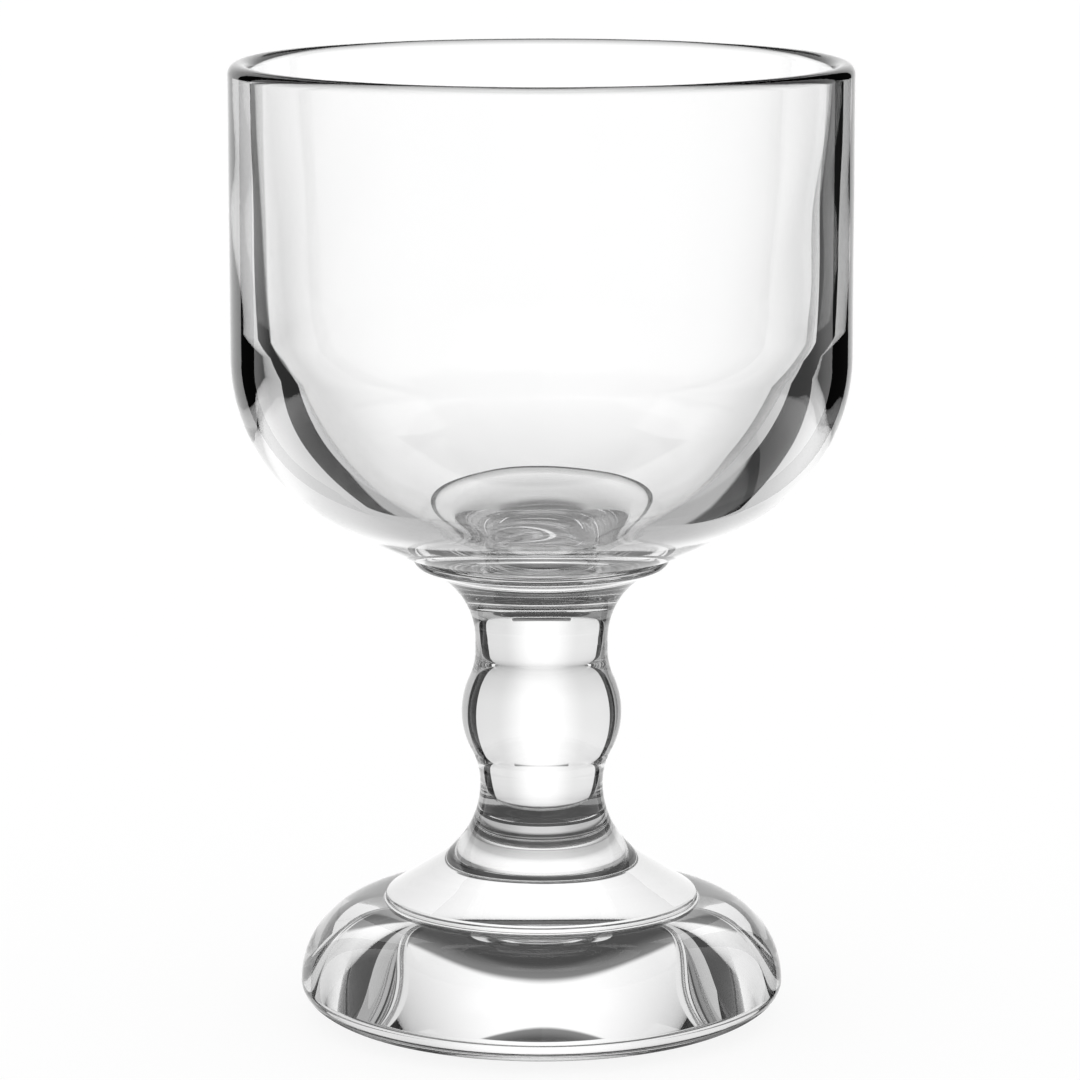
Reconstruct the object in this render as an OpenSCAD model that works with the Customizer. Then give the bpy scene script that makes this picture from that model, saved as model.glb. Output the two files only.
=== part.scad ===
// A heavy pressed-glass goblet: bowl, solid stem and stepped foot, fused hot.
// Every piece is a solid of revolution about Z, and the foot rests on Z = 0.
// Lengths are in millimetres, slopes in degrees from level.

/* [Bowl outside] */
// Outside diameter of the straight wall
bowl_d = 109.1; // [100:0.1:120]
// Height of the bowl, from the flange's lip to the rim
bowl_h = 87.2; // [78:0.1:100]
// Radius of the shallow curve that leaves the flange
under_r = 107.7; // [90:0.1:130]
// Slope at which the bowl leaves the flange
under_slope = 21.9; // [18:0.1:26]
// Slope where the shallow curve turns into the belly
belly_slope = 31.9; // [29:0.1:36]

/* [Bowl inside] */
// Thickness of the glass at the rim
rim_t = 4.0; // [3:0.1:5]
// Height over which the rim's two edges are rounded
rim_round = 2.0; // [1:0.1:3]
// Draft of the inside wall, from upright
draft = 3.5; // [2:0.1:4]
// Glass between the flange's lip and the lowest point inside
floor_t = 4.7; // [4:0.1:8]
// Radius of the dished floor
floor_r = 64.0; // [58:0.1:75]
// Radius of the corner between wall and floor
corner_r = 36.0; // [25:0.1:38]

/* [Stem] */
// Height of the lower neck above the joint with the foot
low_neck_rise = 11.9; // [10.5:0.1:13.5]
// Diameter of the lower neck
low_neck_d = 21.9; // [18:0.1:25]
// Radius of the root curve that spreads from the lower neck to the foot
root_r = 16.4; // [14.5:0.1:18]
// Height of the knop's widest ring above the lower neck
knop_rise = 12.9; // [11:0.1:16]
// Diameter of the knop
knop_d = 28.5; // [26:0.1:33]
// Height of the upper neck above the knop's widest ring
high_neck_rise = 11.1; // [9:0.1:14]
// Diameter of the upper neck
high_neck_d = 23.6; // [20:0.1:25.5]
// Length of the straight part of the upper neck
high_neck_h = 2.0; // [1:0.1:6]
// Height of the flange's lip above the straight neck
flange_rise = 14.9; // [12:0.1:18]
// Diameter of the flange under the bowl
flange_d = 45.4; // [40:0.1:52]
// Radius of the flange's rounded lip
lip_r = 1.9; // [1.2:0.1:2.6]

/* [Foot] */
// Height of the foot, up to the joint with the stem
foot_h = 30.0; // [28.5:0.1:32]
// Diameter of the foot
foot_d = 86.0; // [78:0.1:96]
// Width of the rounded lower edge
edge_w = 12.8; // [8:0.1:13.5]
// Height of the rounded lower edge
edge_h = 6.3; // [5:0.1:7]
// Radius of the dome above the lower edge
dome_r = 14.7; // [13.5:0.1:16]
// Diameter of the step on the dome
step_d = 55.6; // [51:0.1:60]
// Radius of the step's rounded shoulder
shoulder_r = 1.2; // [0.8:0.1:1.8]
// Radius of the small fillet in the step's corner
crease_r = 0.5; // [0.3:0.1:0.8]
// Depth of the hollow underside, at its middle
hollow_h = 5.0; // [4:0.1:6]
// Height of the rounded wall that bounds the hollow
wall_rise = 1.9; // [1:0.1:2.6]
// Width of that wall
wall_run = 1.2; // [0.6:0.1:2]
// Width of the flat ring on which the foot rests
bearing_w = 1.2; // [0.8:0.1:3]

/* [Hidden] */
$fn = 180;
arc_step = 3;
glass = [0.86, 0.93, 0.93, 0.45];

// Share of each neck-to-knop curve that bends at its lower end
rise_share = 0.477;
fall_share = 0.564;
// Share of its oval's half width that the hollow's ceiling covers
ceiling_share = 0.87;

bowl_r = bowl_d / 2;
flange_r = flange_d / 2;
high_neck_r = high_neck_d / 2;
knop_r = knop_d / 2;
low_neck_r = low_neck_d / 2;
step_r = step_d / 2;
foot_r = foot_d / 2;

joint_z = foot_h;
low_neck_z = joint_z + low_neck_rise;
knop_z = low_neck_z + knop_rise;
high_neck_z = knop_z + high_neck_rise;
flare_z = high_neck_z + high_neck_h;
lip_z = flare_z + flange_rise;
rim_z = lip_z + bowl_h;

// Points on a round arc, from angle a to angle b
function arc(centre, r, a, b) = oval(centre, r, r, a, b);

// Points on an oval arc with level and upright half axes rx and rz
function oval(centre, rx, rz, a, b) =
    let (n = ceil(abs(b - a) / arc_step) + 1)
    [for (i = [0:n]) let (t = a + (b - a) * i / n) centre + [rx * cos(t), rz * sin(t)]];

// Two arcs that touch each other between p and q and stand upright at both ends.
// The lower arc takes the given share of the height.
function s_curve(p, q, share) =
    let (
        side = sign(q[0] - p[0]),
        turn = 2 * atan2(abs(q[0] - p[0]), q[1] - p[1]),
        both_r = (q[1] - p[1]) / sin(turn),
        low_r = both_r * share,
        high_r = both_r - low_r
    )
    concat(
        [for (v = arc([low_r, 0], low_r, 180, 180 - turn)) p + [side * v[0], v[1]]],
        [for (v = arc([-high_r, 0], high_r, -turn, 0)) q + [side * v[0], v[1]]]
    );

// Foot: a dome that stops level under the step
crease_x = step_r + crease_r;
dome_centre = [foot_r - dome_r, edge_h];
dome_turn = dome_centre[0] < crease_x ? acos((crease_x - dome_centre[0]) / dome_r) : 90;
crease_centre = [crease_x, edge_h + dome_r * sin(dome_turn) + crease_r];
shoulder_centre = [step_r - shoulder_r, crease_centre[1]];

// The cone touches the shoulder below it and the root curve above it
root_centre = [low_neck_r + root_r, low_neck_z];
shoulder_to_root = root_centre - shoulder_centre;
touch_turn = asin((root_r + shoulder_r) / norm(shoulder_to_root));
cone_slope = 180 - atan2(shoulder_to_root[1], shoulder_to_root[0]) - touch_turn;
joint_turn = 180 + asin(low_neck_rise / root_r);

// The hollow is a rounded wall inside the bearing ring, with an oval ceiling over it
hollow_r = foot_r - edge_w - bearing_w;
ceiling_r = hollow_r - wall_run;
ceiling_turn = asin(ceiling_share);
ceiling_oval_r = ceiling_r / ceiling_share;
ceiling_oval_h = (hollow_h - wall_rise) / (1 - cos(ceiling_turn));

// Stem: the flare stands upright at the neck and touches the lip
lip_centre = [flange_r - lip_r, lip_z];
spread = lip_centre[0] - high_neck_r;
flare_r = (spread * spread + flange_rise * flange_rise - lip_r * lip_r) / (spread + lip_r) / 2;
flare_centre = [high_neck_r + flare_r, flare_z];
flare_turn = atan2(flange_rise, lip_centre[0] - flare_centre[0]);

// Bowl outside: the shallow curve, then the belly up to the straight wall
under_centre = [flange_r, lip_z] - under_r * [sin(under_slope), -cos(under_slope)];
belly_foot = under_centre + under_r * [sin(belly_slope), -cos(belly_slope)];
belly_r = (bowl_r - belly_foot[0]) / (1 - sin(belly_slope));
belly_centre = [bowl_r - belly_r, belly_foot[1] + belly_r * cos(belly_slope)];

// Bowl inside: the drafted wall, the corner that touches it, and the dished floor
half_rim = rim_t / 2;
mouth = [bowl_r - rim_t, rim_z - rim_round];
down_wall = [-sin(draft), -cos(draft)];
off_wall = [-cos(draft), sin(draft)];
floor_centre = [0, lip_z + floor_t + floor_r];
from_floor = mouth + corner_r * off_wall - floor_centre;
along = from_floor * down_wall;
reach = floor_r - corner_r;
slide = sqrt(along * along - from_floor * from_floor + reach * reach) - along;
corner_centre = mouth + corner_r * off_wall + slide * down_wall;
corner_turn = atan2(corner_centre[1] - floor_centre[1], corner_centre[0]);

module turned(outline) {
    rotate_extrude() polygon(outline);
}

module bowl() {
    color(glass) turned(concat(
        [[0, lip_z]],
        arc(under_centre, under_r, under_slope - 90, belly_slope - 90),
        arc(belly_centre, belly_r, belly_slope - 90, 0),
        oval([bowl_r - half_rim, rim_z - rim_round], half_rim, rim_round, 0, 180),
        arc(corner_centre, corner_r, -draft, corner_turn),
        arc(floor_centre, floor_r, corner_turn, -90)
    ));
}

module stem() {
    color(glass) turned(concat(
        [[0, joint_z]],
        arc(root_centre, root_r, joint_turn, 180),
        s_curve([low_neck_r, low_neck_z], [knop_r, knop_z], rise_share),
        s_curve([knop_r, knop_z], [high_neck_r, high_neck_z], fall_share),
        arc(flare_centre, flare_r, 180, flare_turn),
        arc(lip_centre, lip_r, flare_turn - 180, 0),
        [[0, lip_z]]
    ));
}

module foot() {
    color(glass) turned(concat(
        oval([0, hollow_h - ceiling_oval_h], ceiling_oval_r, ceiling_oval_h, 90, 90 - ceiling_turn),
        oval([ceiling_r, 0], wall_run, wall_rise, 90, 0),
        oval([foot_r - edge_w, edge_h], edge_w, edge_h, -90, 0),
        arc(dome_centre, dome_r, 0, dome_turn),
        arc(crease_centre, crease_r, 270, 180),
        arc(shoulder_centre, shoulder_r, 0, 90 - cone_slope),
        arc(root_centre, root_r, 270 - cone_slope, joint_turn),
        [[0, joint_z]]
    ));
}

bowl();
stem();
foot();
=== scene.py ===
"""A heavy pressed-glass goblet, photographed against a lit white backdrop between two dark cards."""

import math

import bpy
import numpy as np
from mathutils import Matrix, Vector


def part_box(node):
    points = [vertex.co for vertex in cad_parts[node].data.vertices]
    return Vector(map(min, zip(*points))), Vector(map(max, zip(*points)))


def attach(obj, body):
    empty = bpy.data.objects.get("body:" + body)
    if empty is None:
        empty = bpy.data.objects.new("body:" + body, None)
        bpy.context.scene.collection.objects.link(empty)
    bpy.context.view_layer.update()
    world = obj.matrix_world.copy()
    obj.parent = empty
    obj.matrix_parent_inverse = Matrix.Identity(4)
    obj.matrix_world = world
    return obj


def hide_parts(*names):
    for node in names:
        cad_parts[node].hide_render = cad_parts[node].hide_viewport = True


bl_info = {
    "name": "Pressed Goblet",
    "version": (1, 0, 0),
    "blender": (4, 5, 0),
    "location": "View3D > Sidebar > Goblet",
    "description": "Turns the bowl, stem and foot of a pressed-glass goblet and lights them as a studio does",
    "category": "Object",
}

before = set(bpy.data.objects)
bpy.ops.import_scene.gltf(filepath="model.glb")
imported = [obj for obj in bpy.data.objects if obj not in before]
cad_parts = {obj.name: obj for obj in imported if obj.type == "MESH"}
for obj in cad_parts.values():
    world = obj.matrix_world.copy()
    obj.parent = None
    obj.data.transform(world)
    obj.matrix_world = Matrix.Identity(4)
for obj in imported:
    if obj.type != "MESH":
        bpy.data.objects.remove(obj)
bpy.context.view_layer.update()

bowl_low, bowl_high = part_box("bowl")
stem_low, stem_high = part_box("stem")
foot_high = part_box("foot")[1]

MM = 0.001
QUARTER = math.pi / 2
WHITE = (1.0, 1.0, 1.0, 1.0)


def length(name, description, default):
    """A size in metres that a user can change."""
    return bpy.props.FloatProperty(
        name=name,
        description=description,
        default=default,
        min=0.0,
        precision=5,
        unit="LENGTH",
        subtype="DISTANCE",
    )


def slope(name, description, degrees):
    """An angle that a user can change, given here in degrees."""
    return bpy.props.FloatProperty(
        name=name, description=description, default=math.radians(degrees), unit="ROTATION", subtype="ANGLE"
    )


def number(name, description, default, top):
    """A plain number from nought to top."""
    return bpy.props.FloatProperty(
        name=name, description=description, default=default, min=0.0, max=top, precision=4
    )


def share(name, description, default):
    """A share of the whole, from nought to one."""
    return number(name, description, default, top=1.0)


def strength(name, description, default):
    """The strength of a light, of which 1 is white."""
    return number(name, description, default, top=4.0)


def tint(name, description, default):
    """A colour that a user can change."""
    return bpy.props.FloatVectorProperty(
        name=name, description=description, default=default, size=3, min=0.0, max=1.0, subtype="COLOR"
    )


class BowlSizes(bpy.types.PropertyGroup):
    """Sizes of the drinking bowl"""

    wall_r: length("Wall radius", "Outside radius of the straight wall", bowl_high.x)
    seam_z: length("Seam height", "Height of the seam between stem and bowl", bowl_low.z)
    rim_z: length("Rim height", "Height of the rim", bowl_high.z)
    under_r: length("Under curve", "Radius of the shallow curve that leaves the flange", 107.7 * MM)
    under_slope: slope("Under slope", "Slope at which the bowl leaves the flange", 21.9)
    belly_slope: slope("Belly slope", "Slope where the shallow curve turns into the belly", 31.9)
    rim_t: length("Rim thickness", "Thickness of the glass at the rim", 4.0 * MM)
    rim_round: length("Rim rounding", "Height over which the rim is rounded", 2.0 * MM)
    draft: slope("Draft", "Draft of the inside wall, from upright", 3.5)
    floor_t: length("Floor thickness", "Glass between the seam and the lowest point inside", 4.7 * MM)
    floor_r: length("Floor radius", "Radius of the dished floor", 64.0 * MM)
    corner_r: length("Corner radius", "Radius of the corner between wall and floor", 36.0 * MM)


class StemSizes(bpy.types.PropertyGroup):
    """Sizes of the solid stem"""

    joint_z: length("Joint height", "Height of the joint between foot and stem", stem_low.z)
    flange_r: length("Flange radius", "Radius of the flange under the bowl", stem_high.x)
    lip_z: length("Lip height", "Height of the flange's lip", stem_high.z)
    lip_r: length("Lip radius", "Radius of the flange's rounded lip", 1.9 * MM)
    low_neck_r: length("Lower neck", "Radius of the lower neck", 10.95 * MM)
    low_neck_rise: length("Lower neck rise", "Height of the lower neck above the joint", 11.9 * MM)
    root_r: length("Root curve", "Radius of the curve from the lower neck to the foot", 16.4 * MM)
    knop_r: length("Knop", "Radius of the knop", 14.25 * MM)
    knop_rise: length("Knop rise", "Height of the knop's widest ring above the lower neck", 12.9 * MM)
    high_neck_r: length("Upper neck", "Radius of the upper neck", 11.8 * MM)
    high_neck_rise: length("Upper neck rise", "Height of the upper neck above the knop", 11.1 * MM)
    high_neck_h: length("Upper neck length", "Length of the straight part of the upper neck", 2.0 * MM)
    rise_share: share("Rise share", "Share of the curve below the knop that its lower arc takes", 0.477)
    fall_share: share("Fall share", "Share of the curve above the knop that its lower arc takes", 0.564)


class FootSizes(bpy.types.PropertyGroup):
    """Sizes of the stepped foot"""

    foot_r: length("Foot radius", "Radius of the foot", foot_high.x)
    edge_w: length("Edge width", "Width of the rounded lower edge", 12.8 * MM)
    edge_h: length("Edge height", "Height of the rounded lower edge", 6.3 * MM)
    dome_r: length("Dome radius", "Radius of the dome above the lower edge", 14.7 * MM)
    step_r: length("Step radius", "Radius of the step on the dome", 27.8 * MM)
    shoulder_r: length("Shoulder radius", "Radius of the step's rounded shoulder", 1.2 * MM)
    crease_r: length("Crease radius", "Radius of the small fillet in the step's corner", 0.5 * MM)
    hollow_h: length("Hollow depth", "Depth of the hollow underside, at its middle", 5.0 * MM)
    wall_rise: length("Hollow wall", "Height of the rounded wall that bounds the hollow", 1.9 * MM)
    wall_run: length("Hollow wall width", "Width of that wall", 1.2 * MM)
    ceiling_share: share("Ceiling share", "Share of its oval's half width that the ceiling covers", 0.87)
    bearing_w: length("Bearing ring", "Width of the flat ring on which the foot rests", 1.2 * MM)


class GlassLook(bpy.types.PropertyGroup):
    """Finish of the glass"""

    pale: tint("Pale glass", "Colour of the clearest glass", (0.992, 0.992, 0.992))
    deep: tint("Deep glass", "Colour of the faint cords in the melt", (0.984, 0.984, 0.984))
    ior: number("Index of refraction", "Index of refraction of soda-lime glass", 1.52, top=2.0)
    wave_h: length("Wave height", "Height of the waves that the mould leaves in the surface", 0.02 * MM)
    bowl_share: number("Bowl waves", "How much higher the waves are on the bowl", 1.7, top=9.0)
    wave_l: length("Wave length", "Shortest length of those waves", 16.0 * MM)
    ripple_h: length("Ripple height", "Height of the fine ripple of a fire-polished surface", 0.004 * MM)
    ripple_l: length("Ripple length", "Length of that ripple", 6.0 * MM)
    mesh_step: length("Mesh step", "Length of one step along an outline", 0.6 * MM)
    turns: bpy.props.IntProperty(name="Segments", description="Steps round the axis", default=240, min=24)


class StudioSetup(bpy.types.PropertyGroup):
    """The stage round the goblet"""

    camera_y: length("Camera distance", "Distance of the camera in front of the goblet's axis", 0.870)
    camera_z: length("Camera height", "Height of the camera above the table", 0.2396)
    camera_tilt: slope("Camera tilt", "How far the camera looks down", 10.04)
    lens: number("Lens", "Focal length in millimetres", 166.9, top=500.0)
    sensor: number("Sensor", "Width of the sensor in millimetres", 36.0, top=100.0)
    image_side: number("Image side", "Side of the square picture in pixels", 1080.0, top=8000.0)
    axis_px: number("Axis offset", "How far the axis is left of the middle, in pixels", 1.5, top=50.0)
    tent_r: length("Tent radius", "Radius of the tent whose inside lights the glass", 6.0)
    floor_r: length("Floor radius", "Radius of the floor", 3.0)
    left_x: length("Left card", "How far left of the goblet the left card's edge stands", 0.190)
    left_y: length("Left card's distance", "How far behind the goblet the left card stands", 0.185)
    right_x: length("Right card", "How far right of the goblet the right card's edge stands", 0.120)
    right_y: length("Right card's distance", "How far behind the goblet the right card stands", 0.140)
    card_w: length("Card width", "Width of both cards", 0.09)
    card_top: length("Card top", "Height of both cards' upper edge above the table", 0.5)
    card_drop: length("Card drop", "Depth of both cards' lower edge below the table", 0.35)
    # Below the table the cards show a painted reflection of themselves in the table, black to these depths,
    # and below that painted light from the table
    left_reflection_depth: length("Left card's black", "Depth to which the left card stays black", 0.19)
    right_reflection_depth: length("Right card's black", "Depth to which the right card stays black", 0.08)
    card: strength("Cards", "Strength of the black cards", 0.01)
    bounce: strength("Bounce", "Light that the table throws on the foot of both cards", 0.4)
    backdrop: strength("Backdrop", "Strength of the lit backdrop behind the glass", 1.15)
    table: strength("Table", "Strength of the lit table, seen from above", 0.68)
    left_fall: share("Left fall", "How much the backdrop darkens to the left", 0.25)
    right_fall: share("Right fall", "How much the backdrop darkens to the right", 0.3)
    top_edge: slope("Top edge", "Elevation of the backdrop's top edge", 21.0)
    edge_rise: slope("Edge rise", "How much higher that edge is beside the middle", 27.0)
    above: strength("Above", "Strength of the wall above the backdrop", 0.25)
    ceiling: strength("Ceiling", "Strength of the dim ceiling", 0.07)
    shade_edge: slope("Shade edge", "How steeply one looks down where the goblet's shade starts", 57.0)
    shade: strength("Shade", "Strength of the shaded table under the goblet", 0.14)
    # Painted shadow: a dim glowing disc under the foot, seen only through the glass, stands for the table in
    # the foot's shade
    shade_r: length("Foot's shade", "Radius of the dark patch of table under the foot", 0.0415)
    shade_dark: strength("Foot's darkness", "Strength of that patch", 0.06)
    wall_edge: slope("Wall edge", "Azimuth at which the side walls start", 58.0)
    left_side: strength("Left wall", "Strength of the grey wall left of the goblet", 0.26)
    right_side: strength("Right wall", "Strength of the grey wall right of the goblet", 0.46)
    lamp: strength("Lamp", "Strength of the soft lamp behind the camera", 1.0)
    room: strength("Room light", "Strength of the soft light on the floor", 1.15)
    shade_share: share("Shade share", "Share of the floor's white that the goblet can shade", 0.12)


FIELDS = {
    "goblet_bowl": BowlSizes,
    "goblet_stem": StemSizes,
    "goblet_foot": FootSizes,
    "goblet_glass": GlassLook,
    "goblet_studio": StudioSetup,
}


class Wire:
    """A socket's value, which adds Math nodes when it is used in an expression"""

    def __init__(self, maker, socket):
        self.maker = maker
        self.socket = socket

    def __add__(self, other):
        return self.maker.math("ADD", self, other)

    def __radd__(self, other):
        return self.maker.math("ADD", other, self)

    def __sub__(self, other):
        return self.maker.math("SUBTRACT", self, other)

    def __rsub__(self, other):
        return self.maker.math("SUBTRACT", other, self)

    def __mul__(self, other):
        return self.maker.math("MULTIPLY", self, other)

    def __rmul__(self, other):
        return self.maker.math("MULTIPLY", other, self)

    def __or__(self, other):
        return self.maker.math("MAXIMUM", self, other)

    def __ror__(self, other):
        return self.maker.math("MAXIMUM", other, self)


class Maker:
    """Adds nodes to one node tree"""

    def __init__(self, tree):
        self.tree = tree
        tree.nodes.clear()

    def add(self, kind, settings=None, inputs=None):
        """Adds a node of a kind, sets it up, and fills its sockets with values or links."""
        made = self.tree.nodes.new(kind)
        for name, value in (settings or {}).items():
            setattr(made, name, value)
        for name, value in (inputs or {}).items():
            if isinstance(value, Wire):
                self.tree.links.new(value.socket, made.inputs[name])
            else:
                made.inputs[name].default_value = value
        return made

    def wire(self, made, output=0):
        """One output of a node, ready for an expression."""
        return Wire(self, made.outputs[output])

    def math(self, operation, *values):
        """The result of one Math node."""
        return self.wire(self.add("ShaderNodeMath", {"operation": operation}, dict(enumerate(values))))

    def place(self):
        """The place on the object that is being shaded."""
        return self.wire(self.add("ShaderNodeTexCoord"), "Object")

    def axes(self, vector):
        """The x, y and z of a vector."""
        split = self.add("ShaderNodeSeparateXYZ", None, {"Vector": vector})
        return [self.wire(split, name) for name in "XYZ"]

    def ease(self, value, start, end):
        """Nought at start, one at end, with a soft run between them."""
        settings = {"interpolation_type": "SMOOTHSTEP", "clamp": True}
        inputs = {"Value": value, "From Min": start, "From Max": end}
        return self.wire(self.add("ShaderNodeMapRange", settings, inputs))

    def end(self, surface, output="ShaderNodeOutputMaterial"):
        """Links the finished surface to the tree's output."""
        self.add(output, None, {"Surface": self.wire(surface)})

    def glow(self, power):
        """A plain white light."""
        return self.add("ShaderNodeEmission", None, {"Color": WHITE, "Strength": power})


def blend(amount, here, there):
    """Here where the amount is nought, there where it is one."""
    return here + amount * (there - here)


def new_material(name):
    """An empty node material and its maker."""
    material = bpy.data.materials.new(name)
    material.use_nodes = True
    return material, Maker(material.node_tree)


# Number of the melt's cords in a metre, and how fine they are
CORD_SCALE, CORD_DETAIL = 30.0, 2.0


def clear_glass(look):
    """Clear soda-lime glass with faint cords in the melt and a fine ripple on the skin."""
    material, maker = new_material("goblet_glass")
    place = maker.place()
    inputs = {"Vector": place, "Scale": CORD_SCALE, "Detail": CORD_DETAIL}
    cords = maker.add("ShaderNodeTexNoise", None, inputs)
    melt = maker.add(
        "ShaderNodeMix",
        {"data_type": "RGBA"},
        {"Factor": maker.wire(cords), "A": (*look.pale, 1.0), "B": (*look.deep, 1.0)},
    )
    inputs = {"Vector": place, "Scale": 1.0 / look.ripple_l, "Detail": 0.0}
    ripple = maker.add("ShaderNodeTexNoise", None, inputs)
    inputs = {"Strength": 1.0, "Distance": look.ripple_h, "Height": maker.wire(ripple)}
    skin = maker.add("ShaderNodeBump", None, inputs)
    surface = maker.add(
        "ShaderNodeBsdfPrincipled",
        None,
        {
            "Base Color": maker.wire(melt, "Result"),
            "Normal": maker.wire(skin),
            "Roughness": 0.0,
            "IOR": look.ior,
            "Transmission Weight": 1.0,
        },
    )
    maker.end(surface)
    return material


def fused_face():
    """The face where two pieces have melted into one, through which light passes unbent."""
    material, maker = new_material("fused_face")
    inputs = {"Base Color": WHITE, "Roughness": 0.0, "Alpha": 0.0}
    maker.end(maker.add("ShaderNodeBsdfPrincipled", None, inputs))
    return material


# Material slots of a piece
CLEAR, FUSED = 0, 1
# Longest turn of one step on an arc, and the gap below which two runs of an outline touch
ARC_STEP = math.radians(3.0)
TOUCHING = 0.01 * MM


def oval(centre, half_r, half_z, start, end, step):
    """Points and outward normals on an oval arc, drawn with the glass on its left."""
    way = math.copysign(1.0, end - start)
    long_way = max(half_r, half_z) * abs(end - start)
    count = max(math.ceil(abs(end - start) / ARC_STEP), math.ceil(long_way / step)) + 1
    turn = np.linspace(start, end, count + 1)
    points = np.c_[centre[0] + half_r * np.cos(turn), centre[1] + half_z * np.sin(turn)]
    normals = way * np.c_[half_z * np.cos(turn), half_r * np.sin(turn)]
    return points, normals / np.linalg.norm(normals, axis=1)[:, None], CLEAR


def arc(centre, radius, start, end, step):
    """Points and outward normals on a round arc."""
    return oval(centre, radius, radius, start, end, step)


def line(start, end, step, surface=CLEAR):
    """Points and outward normals on a straight line."""
    start, end = np.array(start, float), np.array(end, float)
    run = end - start
    long_way = float(np.hypot(*run))
    count = math.ceil(long_way / step) + 1
    points = start + run * np.linspace(0.0, 1.0, count + 1)[:, None]
    normal = np.array([run[1], -run[0]]) / long_way
    return points, np.tile(normal, (count + 1, 1)), surface


def s_curve(low, high, low_share, step):
    """Two arcs that touch each other between low and high and stand upright at both ends."""
    wide, tall = high[0] - low[0], high[1] - low[1]
    turn = 2.0 * math.atan2(abs(wide), tall)
    both_r = tall / math.sin(turn)
    low_r, high_r = both_r * low_share, both_r * (1.0 - low_share)
    if wide > 0:
        lower = arc((low[0] + low_r, low[1]), low_r, math.pi, math.pi - turn, step)
        upper = arc((high[0] - high_r, high[1]), high_r, -turn, 0.0, step)
    else:
        lower = arc((low[0] - low_r, low[1]), low_r, 0.0, turn, step)
        upper = arc((high[0] + high_r, high[1]), high_r, math.pi + turn, math.pi, step)
    return [lower, upper]


def outline(runs, step):
    """Joins runs with straight lines where they don't meet."""
    whole = []
    for run in runs:
        if whole:
            end, start = whole[-1][0][-1], run[0][0]
            if np.hypot(*(start - end)) > TOUCHING:
                whole.append(line(end, start, step))
        whole.append(run)
    return whole


def bowl_outline(bowl, stem, step):
    """The bowl's section, from the axis at the seam, round the rim and back to the axis."""
    seam = (stem.flange_r, bowl.seam_z)
    under_centre = (
        seam[0] - bowl.under_r * math.sin(bowl.under_slope),
        seam[1] + bowl.under_r * math.cos(bowl.under_slope),
    )
    belly_foot = (
        under_centre[0] + bowl.under_r * math.sin(bowl.belly_slope),
        under_centre[1] - bowl.under_r * math.cos(bowl.belly_slope),
    )
    belly_r = (bowl.wall_r - belly_foot[0]) / (1.0 - math.sin(bowl.belly_slope))
    belly_centre = (bowl.wall_r - belly_r, belly_foot[1] + belly_r * math.cos(bowl.belly_slope))
    half_rim = bowl.rim_t / 2
    rim_centre = (bowl.wall_r - half_rim, bowl.rim_z - bowl.rim_round)
    mouth = np.array([bowl.wall_r - bowl.rim_t, bowl.rim_z - bowl.rim_round])
    down_wall = np.array([-math.sin(bowl.draft), -math.cos(bowl.draft)])
    off_wall = np.array([-math.cos(bowl.draft), math.sin(bowl.draft)])
    floor_centre = np.array([0.0, bowl.seam_z + bowl.floor_t + bowl.floor_r])
    from_floor = mouth + bowl.corner_r * off_wall - floor_centre
    along = float(from_floor @ down_wall)
    reach = bowl.floor_r - bowl.corner_r
    slide = math.sqrt(along * along - float(from_floor @ from_floor) + reach * reach) - along
    corner_centre = mouth + bowl.corner_r * off_wall + slide * down_wall
    corner_turn = math.atan2(corner_centre[1] - floor_centre[1], corner_centre[0])
    return outline(
        [
            line((0.0, bowl.seam_z), seam, step, FUSED),
            arc(under_centre, bowl.under_r, bowl.under_slope - QUARTER, bowl.belly_slope - QUARTER, step),
            arc(belly_centre, belly_r, bowl.belly_slope - QUARTER, 0.0, step),
            oval(rim_centre, half_rim, bowl.rim_round, 0.0, math.pi, step),
            arc(corner_centre, bowl.corner_r, -bowl.draft, corner_turn, step),
            arc(floor_centre, bowl.floor_r, corner_turn, -QUARTER, step),
        ],
        step,
    )


def root_centre(stem):
    """Centre of the root curve, which runs from the lower neck across the joint into the foot's cone."""
    return stem.low_neck_r + stem.root_r, stem.joint_z + stem.low_neck_rise


def joint_turn(stem):
    """Angle on the root curve at which foot and stem join."""
    return math.pi + math.asin(stem.low_neck_rise / stem.root_r)


def joint_radius(stem):
    """Radius of the joint between foot and stem."""
    return root_centre(stem)[0] + stem.root_r * math.cos(joint_turn(stem))


def stem_outline(stem, step):
    """The stem's section: root curve, lower neck, knop, upper neck, flare and lip."""
    low_neck_z = stem.joint_z + stem.low_neck_rise
    knop_z = low_neck_z + stem.knop_rise
    high_neck_z = knop_z + stem.high_neck_rise
    flare_z = high_neck_z + stem.high_neck_h
    lip_centre = (stem.flange_r - stem.lip_r, stem.lip_z)
    spread, rise = lip_centre[0] - stem.high_neck_r, stem.lip_z - flare_z
    flare_r = (spread * spread + rise * rise - stem.lip_r * stem.lip_r) / (spread + stem.lip_r) / 2
    flare_centre = (stem.high_neck_r + flare_r, flare_z)
    flare_turn = math.atan2(rise, lip_centre[0] - flare_centre[0])
    return outline(
        [
            line((0.0, stem.joint_z), (joint_radius(stem), stem.joint_z), step, FUSED),
            arc(root_centre(stem), stem.root_r, joint_turn(stem), math.pi, step),
            *s_curve((stem.low_neck_r, low_neck_z), (stem.knop_r, knop_z), stem.rise_share, step),
            *s_curve((stem.knop_r, knop_z), (stem.high_neck_r, high_neck_z), stem.fall_share, step),
            arc(flare_centre, flare_r, math.pi, flare_turn, step),
            arc(lip_centre, stem.lip_r, flare_turn - math.pi, 0.0, step),
            line((stem.flange_r, stem.lip_z), (0.0, stem.lip_z), step, FUSED),
        ],
        step,
    )


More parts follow.
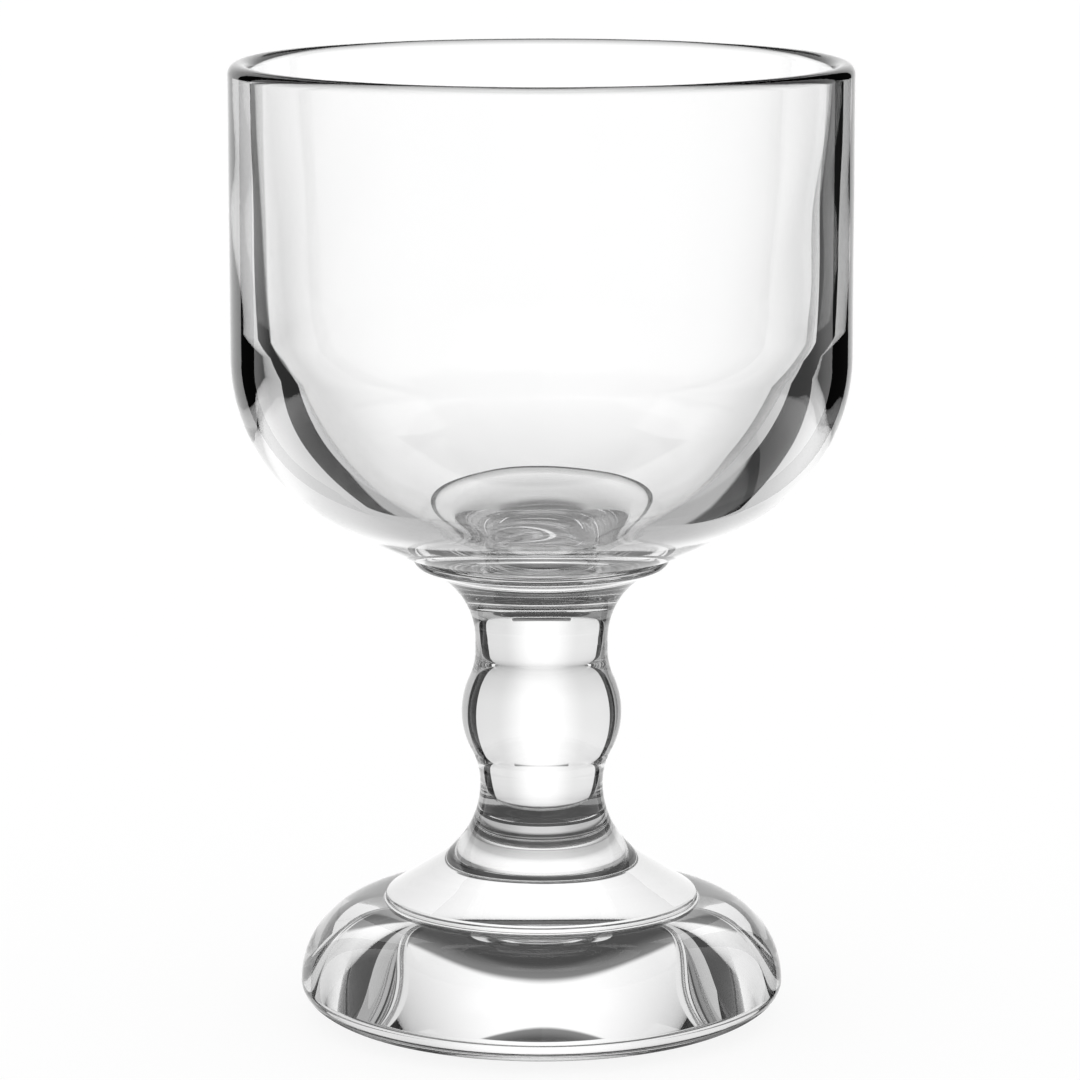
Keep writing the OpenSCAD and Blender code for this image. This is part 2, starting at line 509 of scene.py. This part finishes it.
def foot_outline(foot, stem, step):
    """The foot's section: hollow, bearing ring, rounded edge, dome, step, cone and root curve."""
    crease_x = foot.step_r + foot.crease_r
    dome_centre = (foot.foot_r - foot.dome_r, foot.edge_h)
    reach = crease_x - dome_centre[0]
    dome_turn = math.acos(reach / foot.dome_r) if reach > 0 else QUARTER
    crease_centre = (crease_x, foot.edge_h + foot.dome_r * math.sin(dome_turn) + foot.crease_r)
    shoulder_centre = (foot.step_r - foot.shoulder_r, crease_centre[1])
    root = root_centre(stem)
    across, up = root[0] - shoulder_centre[0], root[1] - shoulder_centre[1]
    touch_turn = math.asin((stem.root_r + foot.shoulder_r) / math.hypot(across, up))
    cone_slope = math.pi - math.atan2(up, across) - touch_turn
    ceiling_r = foot.foot_r - foot.edge_w - foot.bearing_w - foot.wall_run
    ceiling_turn = math.asin(foot.ceiling_share)
    oval_r = ceiling_r / foot.ceiling_share
    oval_h = (foot.hollow_h - foot.wall_rise) / (1.0 - math.cos(ceiling_turn))
    edge_centre = (foot.foot_r - foot.edge_w, foot.edge_h)
    return outline(
        [
            oval((0.0, foot.hollow_h - oval_h), oval_r, oval_h, QUARTER, QUARTER - ceiling_turn, step),
            oval((ceiling_r, 0.0), foot.wall_run, foot.wall_rise, QUARTER, 0.0, step),
            oval(edge_centre, foot.edge_w, foot.edge_h, -QUARTER, 0.0, step),
            arc(dome_centre, foot.dome_r, 0.0, dome_turn, step),
            arc(crease_centre, foot.crease_r, math.pi + QUARTER, math.pi, step),
            arc(shoulder_centre, foot.shoulder_r, 0.0, QUARTER - cone_slope, step),
            arc(root, stem.root_r, math.pi + QUARTER - cone_slope, joint_turn(stem), step),
            line((joint_radius(stem), stem.joint_z), (0.0, stem.joint_z), step, FUSED),
        ],
        step,
    )


# Number of waves in the skin of each piece, and the seed of each piece's waves
WAVE_COUNT = 9
BOWL_SEED, STEM_SEED, FOOT_SEED = 5, 6, 7
# How the waves differ in length and in height, as shares of the stated ones
LENGTH_SHARES, HEIGHT_SHARES = (1.0, 3.0), (0.5, 1.0)
# Distance from a calm level at which the waves have their full height
CALM_REACH = 4.0 * MM
# Half the distance over which the skin's slope is measured
SLOPE_STEP = 0.02 * MM


class MouldWaves:
    """The slow waves that a mould and a fire polish leave in pressed glass, as a depth at any place"""

    def __init__(self, look, stem, seed, height):
        draws = np.random.default_rng(seed)
        ways = draws.normal(size=(WAVE_COUNT, 3))
        ways /= np.linalg.norm(ways, axis=1)[:, None]
        lengths = look.wave_l * draws.uniform(*LENGTH_SHARES, WAVE_COUNT)
        self.ways = ways * (2.0 * math.pi / lengths)[:, None]
        self.starts = draws.uniform(0.0, 2.0 * math.pi, WAVE_COUNT)
        self.heights = height * draws.uniform(*HEIGHT_SHARES, WAVE_COUNT) / math.sqrt(WAVE_COUNT)
        self.calm_levels = (0.0, stem.joint_z, stem.lip_z)

    def depth(self, places):
        """How far the skin is drawn in at each place, below nought; none at the table and the seams."""
        waves = (np.sin(places @ self.ways.T + self.starts) - 1.0) @ self.heights
        for level in self.calm_levels:
            near = np.clip(np.abs(places[:, 2] - level) / CALM_REACH, 0.0, 1.0)
            waves = waves * near * near * (3.0 - 2.0 * near)
        return waves

    def slope(self, places):
        """How fast that depth changes along x, y and z."""
        sides = [self.depth(places + way) - self.depth(places - way) for way in np.eye(3) * SLOPE_STEP]
        return np.stack(sides, axis=1) / (2.0 * SLOPE_STEP)


def full_turn(count):
    """Angles of equal steps round the axis."""
    return np.arange(count) * 2.0 * math.pi / count


def swing(flat, turn):
    """Points or normals of a section, as r and z, swung round the axis."""
    out, up = flat[..., 0], flat[..., 1]
    return np.stack([out * np.cos(turn), out * np.sin(turn), up + 0.0 * turn], axis=-1)


def add_object(name, data):
    """A new object in the scene."""
    made = bpy.data.objects.new(name, data)
    bpy.context.scene.collection.objects.link(made)
    return made


def turned(name, runs, turns, waves):
    """A closed piece turned from its outline, with exact normals and the mould's waves in its skin."""
    section, kinds, normals = [runs[0][0][0]], [], []
    for points, run_normals, kind in runs:
        section.extend(points[1:])
        kinds.extend([kind] * (len(points) - 1))
        normals.extend(np.stack([run_normals[:-1], run_normals[1:]], axis=1))
    section, normals = np.array(section), np.array(normals)
    count = len(section)
    turn = full_turn(turns)

    # A ring keeps the normal of the clear skin where that meets a fused face
    way = np.array([a if k == CLEAR else b for a, b, k in zip(normals[:-1, 1], normals[1:, 0], kinds)])
    places = swing(section[1:-1], turn[:, None]).reshape(-1, 3)
    outward = swing(way, turn[:, None]).reshape(-1, 3)
    moved = places + outward * waves.depth(places)[:, None]
    low_pole, high_pole = turns * (count - 2), turns * (count - 2) + 1
    vertices = np.vstack([moved, [[0.0, 0.0, section[0][1]], [0.0, 0.0, section[-1][1]]]])

    def ring(j):
        """Vertex numbers round one ring; both ends of the outline are poles."""
        if j == 0:
            return np.full(turns, low_pole)
        if j == count - 1:
            return np.full(turns, high_pole)
        return np.arange(turns) * (count - 2) + j - 1

    faces, slots, facing = [], [], []
    following = np.roll(np.arange(turns), -1)
    angle = np.stack([turn, turn + turn[1], turn + turn[1], turn], axis=1)
    for j, kind in enumerate(kinds):
        low, high = ring(j), ring(j + 1)
        corners = np.stack([low, low[following], high[following], high], axis=1)
        slant = normals[j, [0, 0, 1, 1]]
        keep = [0, 1, 2, 3]
        if j == 0:
            keep = [0, 2, 3]
        if j == count - 2:
            keep = [0, 1, 2]
        faces.extend(corners[:, keep].tolist())
        slots.extend([kind] * turns)
        facing.append(swing(slant, angle)[:, keep].reshape(-1, 3))
    mesh = bpy.data.meshes.new(name)
    mesh.from_pydata(vertices.tolist(), [], faces)
    mesh.polygons.foreach_set("material_index", slots)
    mesh.polygons.foreach_set("use_smooth", [True] * len(slots))

    # The waves tilt each corner's normal by their slope along the skin
    facing = np.vstack(facing)
    rise = waves.slope(vertices[np.concatenate(faces)])
    facing = facing - rise + facing * (rise * facing).sum(axis=1)[:, None]
    facing /= np.linalg.norm(facing, axis=1)[:, None]
    mesh.normals_split_custom_set(facing.tolist())
    mesh.update()
    return add_object(name, mesh)


def make_piece(scene, node, runs, seed, wave_share=1.0):
    """Turns one piece of glass and lets it stand for its CAD node."""
    look = scene.goblet_glass
    waves = MouldWaves(look, scene.goblet_stem, seed, wave_share * look.wave_h)
    piece = turned("goblet_" + node, runs, look.turns, waves)
    piece.data.materials.append(bpy.data.materials.get("goblet_glass") or clear_glass(look))
    piece.data.materials.append(bpy.data.materials.get("fused_face") or fused_face())
    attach(piece, "root")
    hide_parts(node)


class GOBLET_OT_bowl(bpy.types.Operator):
    """Turns the drinking bowl"""

    bl_idname = "goblet.bowl"
    bl_label = "Bowl"

    def execute(self, context):
        scene = context.scene
        look = scene.goblet_glass
        runs = bowl_outline(scene.goblet_bowl, scene.goblet_stem, look.mesh_step)
        make_piece(scene, "bowl", runs, BOWL_SEED, look.bowl_share)
        return {"FINISHED"}


class GOBLET_OT_stem(bpy.types.Operator):
    """Turns the solid stem with its knop and flange"""

    bl_idname = "goblet.stem"
    bl_label = "Stem"

    def execute(self, context):
        scene = context.scene
        runs = stem_outline(scene.goblet_stem, scene.goblet_glass.mesh_step)
        make_piece(scene, "stem", runs, STEM_SEED)
        return {"FINISHED"}


class GOBLET_OT_foot(bpy.types.Operator):
    """Turns the stepped foot with its hollow underside"""

    bl_idname = "goblet.foot"
    bl_label = "Foot"

    def execute(self, context):
        scene = context.scene
        runs = foot_outline(scene.goblet_foot, scene.goblet_stem, scene.goblet_glass.mesh_step)
        make_piece(scene, "foot", runs, FOOT_SEED)
        return {"FINISHED"}


# Nearest and farthest distance that the camera sees
CAMERA_NEAR, CAMERA_FAR = 0.01, 100.0


def add_camera(studio):
    """The camera, at the photograph's height, tilt and framing."""
    data = bpy.data.cameras.new("camera")
    data.sensor_width = studio.sensor
    data.lens = studio.lens
    data.shift_x = -studio.axis_px / studio.image_side
    data.clip_start, data.clip_end = CAMERA_NEAR, CAMERA_FAR
    camera = add_object("camera", data)
    camera.location = (0.0, -studio.camera_y, studio.camera_z)
    camera.rotation_euler = (QUARTER - studio.camera_tilt, 0.0, 0.0)
    bpy.context.scene.camera = camera
    return camera


def angles(*degrees):
    """Angles that are given in degrees."""
    return [math.radians(angle) for angle in degrees]


# Elevations, low to high, where the tent's light changes: from the table to the backdrop, from the
# floor to the side walls, and at the lamp's lower and upper border
TABLE_ENDS = angles(-49.0, -12.0)
FLOOR_ENDS = angles(-38.0, -26.0)
LAMP_FOOT, LAMP_TOP = angles(8.0, 28.0), angles(56.0, 42.0)
# Azimuths, from straight ahead to straight behind, where it changes: the backdrop's fall-off, the rise
# of its top edge, the floor's dim and light parts beside and behind the goblet, and the lamp's sides
FALL_OFF = angles(3.0, 25.0)
EDGE_RISES = angles(17.0, 23.0)
FLOOR_DIMS, FLOOR_LIGHTENS = angles(95.0, 110.0), angles(140.0, 155.0)
LAMP_SIDES = angles(130.0, 150.0)
# Half the width of the soft borders of the backdrop's top edge, the shade and the side walls, and the
# height over which the wall above the backdrop darkens to the ceiling
TOP_SOFT, SHADE_SOFT, WALL_SOFT, ABOVE_H = angles(1.4, 5.6, 8.0, 11.0)
# Strength of the floor by the side walls, as a share of the table's, and how far it falls and rises
FLOOR_SHARE, FLOOR_FALL, FLOOR_RISE = 0.6, 0.8, 0.6


def tent_material(studio):
    """The tent's light.

    Ahead is a lit backdrop over a lit table, with a dark wall and ceiling above it. Grey walls stand at
    both sides on a floor of their own. A soft lamp hangs behind the camera, and straight down is the
    table in the goblet's own shade.
    """
    material, maker = new_material("tent_light")
    direction = maker.add("ShaderNodeVectorMath", {"operation": "NORMALIZE"}, {0: maker.place()})
    east, north, up = maker.axes(maker.wire(direction))
    azimuth = maker.math("ARCTAN2", east, north)
    side = maker.math("ABSOLUTE", azimuth)
    height = maker.math("ARCSINE", up)

    backdrop = blend(maker.ease(height, *TABLE_ENDS), studio.table, studio.backdrop)
    near, far = FALL_OFF
    backdrop = backdrop * (1.0 - maker.ease(azimuth, -near, -far) * studio.left_fall)
    backdrop = backdrop * (1.0 - maker.ease(azimuth, near, far) * studio.right_fall)

    right = maker.ease(azimuth, studio.wall_edge - WALL_SOFT, studio.wall_edge + WALL_SOFT)
    left = maker.ease(azimuth, WALL_SOFT - studio.wall_edge, -WALL_SOFT - studio.wall_edge)
    beside = left | right
    floor = 1.0 - maker.ease(side, *FLOOR_DIMS) * FLOOR_FALL + maker.ease(side, *FLOOR_LIGHTENS) * FLOOR_RISE
    floor = beside * (studio.table * FLOOR_SHARE * floor)
    walls = right * studio.right_side + left * studio.left_side
    walls = blend(maker.ease(height, *FLOOR_ENDS), floor, walls)
    around = walls + (1.0 - beside) * backdrop

    darker = maker.ease(height, studio.top_edge, studio.top_edge + ABOVE_H)
    above = blend(darker, studio.above, studio.ceiling)
    top_edge = studio.top_edge + maker.ease(side, *EDGE_RISES) * studio.edge_rise
    light = blend(maker.ease(height - top_edge, -TOP_SOFT, TOP_SOFT), around, above)

    lamp = maker.ease(height, *LAMP_FOOT) * maker.ease(height, *LAMP_TOP) * maker.ease(side, *LAMP_SIDES)
    light = blend(lamp, light, studio.lamp)
    under = maker.ease(height, SHADE_SOFT - studio.shade_edge, -SHADE_SOFT - studio.shade_edge)
    light = blend(under, light, studio.shade)
    maker.end(maker.glow(light))
    return material


def ride_trolley(thing, camera):
    """Stands a studio thing on the camera's trolley, so that it turns with the view; only glass shows it."""
    thing.visible_camera = False
    thing.visible_diffuse = False
    thing.visible_shadow = False
    bpy.context.view_layer.update()
    world_place = thing.matrix_world.copy()
    thing.parent = camera
    thing.matrix_world = world_place


# Length over which a card's painted reflection ends and the painted light of the table on it starts
BOUNCE_STARTS = 20.0 * MM


def add_card(name, studio, camera, edge_x, edge_y, black):
    """A black card beside the backdrop; below the table, black is how deep its painted reflection goes."""
    left, right = sorted((edge_x, edge_x + math.copysign(studio.card_w, edge_x)))
    low, high = -studio.card_drop, studio.card_top
    corners = [(left, edge_y, low), (right, edge_y, low), (right, edge_y, high), (left, edge_y, high)]
    mesh = bpy.data.meshes.new(name)
    mesh.from_pydata(corners, [], [[0, 1, 2, 3]])
    material, maker = new_material(name)
    up = maker.axes(maker.place())[2]
    # Painted light: below the painted reflection the card glows as if lit from the table at its foot
    lit = maker.ease(up, -black, -black - BOUNCE_STARTS)
    maker.end(maker.glow(studio.card + lit * studio.bounce))
    mesh.materials.append(material)
    ride_trolley(add_object(name, mesh), camera)


# Steps round the axis of everything round in the studio, and steps from the tent's foot to its top
STUDIO_TURNS, TENT_ROWS = 96, 48
# How far the painted shadow under the foot lies below the plane on which the foot stands
SHADE_SINKS = 0.1 * MM


def disc(name, radius, height):
    """A flat round sheet about the goblet's axis."""
    mesh = bpy.data.meshes.new(name)
    rim = np.tile([radius, height], (STUDIO_TURNS, 1))
    mesh.from_pydata(swing(rim, full_turn(STUDIO_TURNS)).tolist(), [], [list(range(STUDIO_TURNS))])
    return mesh


def add_shade(studio, camera):
    """Painted shadow: a dim disc for the table that the foot covers and shades, seen only through the glass.
    """
    mesh = disc("foot_shade", studio.shade_r, -SHADE_SINKS)
    material, maker = new_material("foot_shade")
    maker.end(maker.glow(studio.shade_dark))
    mesh.materials.append(material)
    ride_trolley(add_object("foot_shade", mesh), camera)


def add_tent(studio, camera):
    """The tent round the goblet, a ball whose inside glows."""
    level = np.linspace(-QUARTER, QUARTER, TENT_ROWS + 1)
    section = studio.tent_r * np.stack([np.cos(level), np.sin(level)], axis=1)[:, None]
    places = swing(section, full_turn(STUDIO_TURNS))
    faces = []
    for i in range(0, TENT_ROWS * STUDIO_TURNS, STUDIO_TURNS):
        for j in range(STUDIO_TURNS):
            k = (j + 1) % STUDIO_TURNS
            faces.append((i + j, i + k, i + STUDIO_TURNS + k, i + STUDIO_TURNS + j))
    mesh = bpy.data.meshes.new("studio_tent")
    mesh.from_pydata(places.reshape(-1, 3).tolist(), [], faces)
    mesh.materials.append(tent_material(studio))
    tent = add_object("studio_tent", mesh)
    tent.location = (0.0, 0.0, bowl_high.z / 2)
    ride_trolley(tent, camera)


# Colour of the floor where it takes the goblet's shade, and the strength at which it looks white
FLOOR_COLOUR, FLOOR_GLOW = (0.9, 0.9, 0.9, 1.0), 1.0


def floor_material(studio):
    """A white table that keeps the goblet's soft shade."""
    material, maker = new_material("table_white")
    cloth = maker.add("ShaderNodeBsdfDiffuse", None, {"Color": FLOOR_COLOUR})
    path = maker.add("ShaderNodeLightPath")
    seen = maker.wire(path, "Is Camera Ray") | maker.wire(path, "Is Glossy Ray")
    seen = (seen | maker.wire(path, "Is Transmission Ray")) * (1.0 - studio.shade_share)
    inputs = {0: seen, 1: maker.wire(cloth), 2: maker.wire(maker.glow(FLOOR_GLOW))}
    maker.end(maker.add("ShaderNodeMixShader", None, inputs))
    return material


def add_floor(studio):
    """The white table on which the goblet stands."""
    mesh = disc("studio_floor", studio.floor_r, 0.0)
    mesh.materials.append(floor_material(studio))
    floor = add_object("studio_floor", mesh)
    floor.visible_transmission = False
    floor.visible_glossy = False


def set_world(studio):
    """White where the camera looks past the floor, soft light on the floor, and dimmer inside the glass."""
    world = bpy.data.worlds.new("studio_world")
    bpy.context.scene.world = world
    world.use_nodes = True
    maker = Maker(world.node_tree)
    path = maker.add("ShaderNodeLightPath")
    in_glass = maker.wire(path, "Is Glossy Ray") | maker.wire(path, "Is Transmission Ray")
    light = maker.wire(path, "Is Camera Ray") | (1.0 - in_glass) * studio.room | in_glass * studio.table
    inputs = {"Color": WHITE, "Strength": light}
    maker.end(maker.add("ShaderNodeBackground", None, inputs), "ShaderNodeOutputWorld")


# How often light is bent or mirrored in the glass, and how many fused faces it passes
GLASS_BOUNCES, FUSED_PASSES = 11, 16


class GOBLET_OT_stage(bpy.types.Operator):
    """Sets up the camera, the floor, the tent, the cards and the room's light"""

    bl_idname = "goblet.stage"
    bl_label = "Stage"

    def execute(self, context):
        scene = context.scene
        studio = scene.goblet_studio
        camera = add_camera(studio)
        add_tent(studio, camera)
        add_shade(studio, camera)
        add_card("left_card", studio, camera, -studio.left_x, studio.left_y, studio.left_reflection_depth)
        add_card("right_card", studio, camera, studio.right_x, studio.right_y, studio.right_reflection_depth)
        add_floor(studio)
        set_world(studio)
        scene.view_settings.view_transform = "Standard"
        scene.cycles.max_bounces = GLASS_BOUNCES
        scene.cycles.transmission_bounces = GLASS_BOUNCES
        scene.cycles.glossy_bounces = GLASS_BOUNCES
        scene.cycles.transparent_max_bounces = FUSED_PASSES
        return {"FINISHED"}


OPERATORS = (GOBLET_OT_stage, GOBLET_OT_foot, GOBLET_OT_stem, GOBLET_OT_bowl)


class GOBLET_PT_panel(bpy.types.Panel):
    """Lists the goblet's pieces and their sizes"""

    bl_idname = "GOBLET_PT_panel"
    bl_label = "Goblet"
    bl_space_type = "VIEW_3D"
    bl_region_type = "UI"
    bl_category = "Goblet"

    def draw(self, context):
        for operator in OPERATORS:
            self.layout.operator(operator.bl_idname)
        for field, group in FIELDS.items():
            box = self.layout.box()
            box.label(text=group.__doc__)
            for name in group.__annotations__:
                box.prop(getattr(context.scene, field), name)


CLASSES = (*FIELDS.values(), *OPERATORS, GOBLET_PT_panel)


def register():
    """Registers every class and hangs the sizes on the scene."""
    for part in CLASSES:
        bpy.utils.register_class(part)
    for field, group in FIELDS.items():
        setattr(bpy.types.Scene, field, bpy.props.PointerProperty(type=group))


def unregister():
    """Takes the sizes and the classes away again."""
    for field in FIELDS:
        delattr(bpy.types.Scene, field)
    for part in reversed(CLASSES):
        bpy.utils.unregister_class(part)


def main():
    """Registers the add-on and makes the stage and every piece."""
    register()
    bpy.ops.goblet.stage()
    bpy.ops.goblet.foot()
    bpy.ops.goblet.stem()
    bpy.ops.goblet.bowl()


if __name__ == "__main__":
    main()
